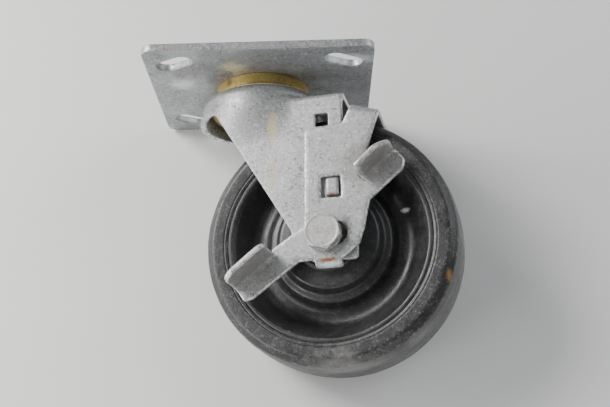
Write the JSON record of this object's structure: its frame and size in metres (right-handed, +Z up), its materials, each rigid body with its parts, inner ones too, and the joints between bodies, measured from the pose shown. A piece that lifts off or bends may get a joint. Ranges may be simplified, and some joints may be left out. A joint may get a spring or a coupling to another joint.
{
  "type": "swivel caster with side brake",
  "caption": "Swivel top-plate caster: slotted steel plate, double ball race, pressed fork, roller-bearing wheel and a side lever brake with two foot pedals.",
  "frame": {"origin": "centre of the mounting plate's top face, on the swivel axis", "axes": "+Z up through the swivel axis, plate long side along X; at rest the wheel trails towards +X, turned 12.4 degrees clockwise seen from above; the brake lever is on the -Y side"},
  "size_m": [0.1577, 0.1109, 0.1559],
  "materials": {
    "galvanised_steel": "dull mottled galvanised sheet with sheared edges that rust",
    "yellow_zinc": "yellow passivated zinc, worn",
    "bearing_steel": "ground and polished",
    "zinc_hardware": "dull zinc plate",
    "wheel_core_black": "moulded black, dusty",
    "tread_rubber": "hard black tread, running face worn grey",
    "cage_nylon": "natural nylon"
  },
  "bodies": {
    "plate": {"mounting_plate": "galvanised_steel", "upper_race": "yellow_zinc", "lower_race": "yellow_zinc", "kingpin": "zinc_hardware", "kingpin_washer": "zinc_hardware", "kingpin_nut": "zinc_hardware"},
    "upper_ball_ring": {"upper_balls": "bearing_steel"},
    "lower_ball_ring": {"lower_balls": "bearing_steel"},
    "fork": {"fork": "galvanised_steel", "axle_bolt": "zinc_hardware", "axle_spring_washer": "zinc_hardware", "axle_washer": "zinc_hardware", "axle_nut": "zinc_hardware", "axle_sleeve": "zinc_hardware", "thrust_washer_near": "zinc_hardware", "thrust_washer_far": "zinc_hardware"},
    "wheel": {"wheel_core": "wheel_core_black", "tread": "tread_rubber", "hub_liner": "bearing_steel"},
    "roller_set": {"wheel_rollers": "bearing_steel", "roller_cage": "cage_nylon"},
    "brake": {"brake_lever": "galvanised_steel"}
  },
  "joints": [
    {"name": "swivel", "type": "hinge", "parent": "plate", "child": "fork", "pos_m": [0, 0, -0.012], "axis": [0, 0, 1], "continuous": true},
    {"name": "upper_ball_roll", "type": "hinge", "parent": "plate", "child": "upper_ball_ring", "pos_m": [0, 0, -0.0116], "axis": [0, 0, 1], "continuous": true},
    {"name": "lower_ball_roll", "type": "hinge", "parent": "plate", "child": "lower_ball_ring", "pos_m": [0, 0, -0.0154], "axis": [0, 0, 1], "continuous": true},
    {"name": "wheel_spin", "type": "hinge", "parent": "fork", "child": "wheel", "pos_m": [0.03633, -0.00799, -0.0934], "axis": [0.2147, 0.9767, 0], "continuous": true},
    {"name": "roller_roll", "type": "hinge", "parent": "fork", "child": "roller_set", "pos_m": [0.03633, -0.00799, -0.0934], "axis": [0.2147, 0.9767, 0], "continuous": true},
    {"name": "brake_rock", "type": "hinge", "parent": "fork", "child": "brake", "pos_m": [0.0346, -0.03638, -0.0705], "axis": [0.2147, 0.9767, 0], "range_deg": [0, 10]}
  ],
  "couplings": [
    {"joint": "upper_ball_roll", "follows": "swivel", "ratio": 0.5},
    {"joint": "lower_ball_roll", "follows": "swivel", "ratio": 0.5},
    {"joint": "roller_roll", "follows": "wheel_spin", "ratio": 0.62}
  ]
}
